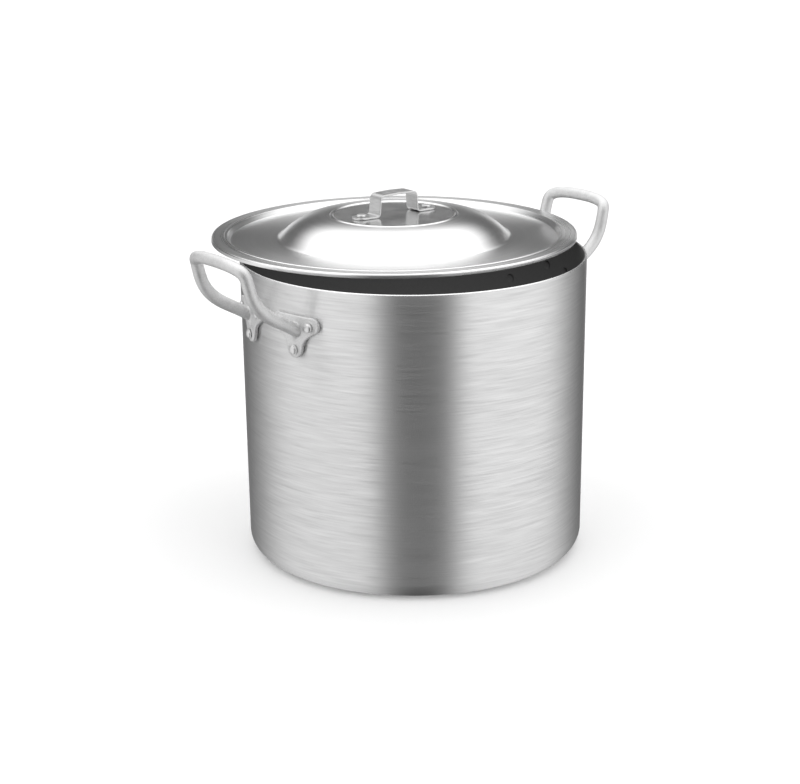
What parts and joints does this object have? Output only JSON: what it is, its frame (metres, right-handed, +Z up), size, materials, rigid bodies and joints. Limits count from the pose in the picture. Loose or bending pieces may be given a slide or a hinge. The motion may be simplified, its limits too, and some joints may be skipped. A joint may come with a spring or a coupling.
{
  "type": "stockpot with lid",
  "caption": "Tall aluminium stockpot with cast loop handles riveted to its wall and a loose domed lid lying ajar, with a riveted strap handle.",
  "frame": {"origin": "on the pot's axis at the underside of its base", "axes": "+Z up along the pot's axis; the two loop handles stand on -X and +X, the right one 1.5 degrees round towards +Y; the lid is slid towards +Y"},
  "size_m": [0.4714, 0.4205, 0.3456],
  "materials": {
    "brushed_aluminium": "brushed in rings around the wall",
    "spun_aluminium": "spun and polished in fine rings",
    "cast_aluminium": "satin casting, lightly tumbled",
    "polished_aluminium": "bright, softly polished",
    "dark_lining": "dark non-stick coating, satin"
  },
  "bodies": {
    "pot": {"pot_body": "brushed_aluminium", "handle_left": "cast_aluminium", "handle_right": "cast_aluminium", "rivet_right_back_inner": "polished_aluminium", "rivet_right_back_outer": "polished_aluminium", "rivet_right_back_lower": "polished_aluminium", "rivet_right_front_inner": "polished_aluminium", "rivet_right_front_outer": "polished_aluminium", "rivet_right_front_lower": "polished_aluminium", "rivet_left_back_inner": "polished_aluminium", "rivet_left_back_outer": "polished_aluminium", "rivet_left_back_lower": "polished_aluminium", "rivet_left_front_inner": "polished_aluminium", "rivet_left_front_outer": "polished_aluminium", "rivet_left_front_lower": "polished_aluminium"},
    "lid": {"lid": "spun_aluminium", "lid_handle": "polished_aluminium", "lid_rivet_left": "polished_aluminium", "lid_rivet_right": "polished_aluminium"}
  },
  "joints": [
    {"name": "lid_lift", "type": "slide", "parent": "pot", "child": "lid", "axis": [0, 0, 1], "range_m": [0, 0.25]}
  ]
}
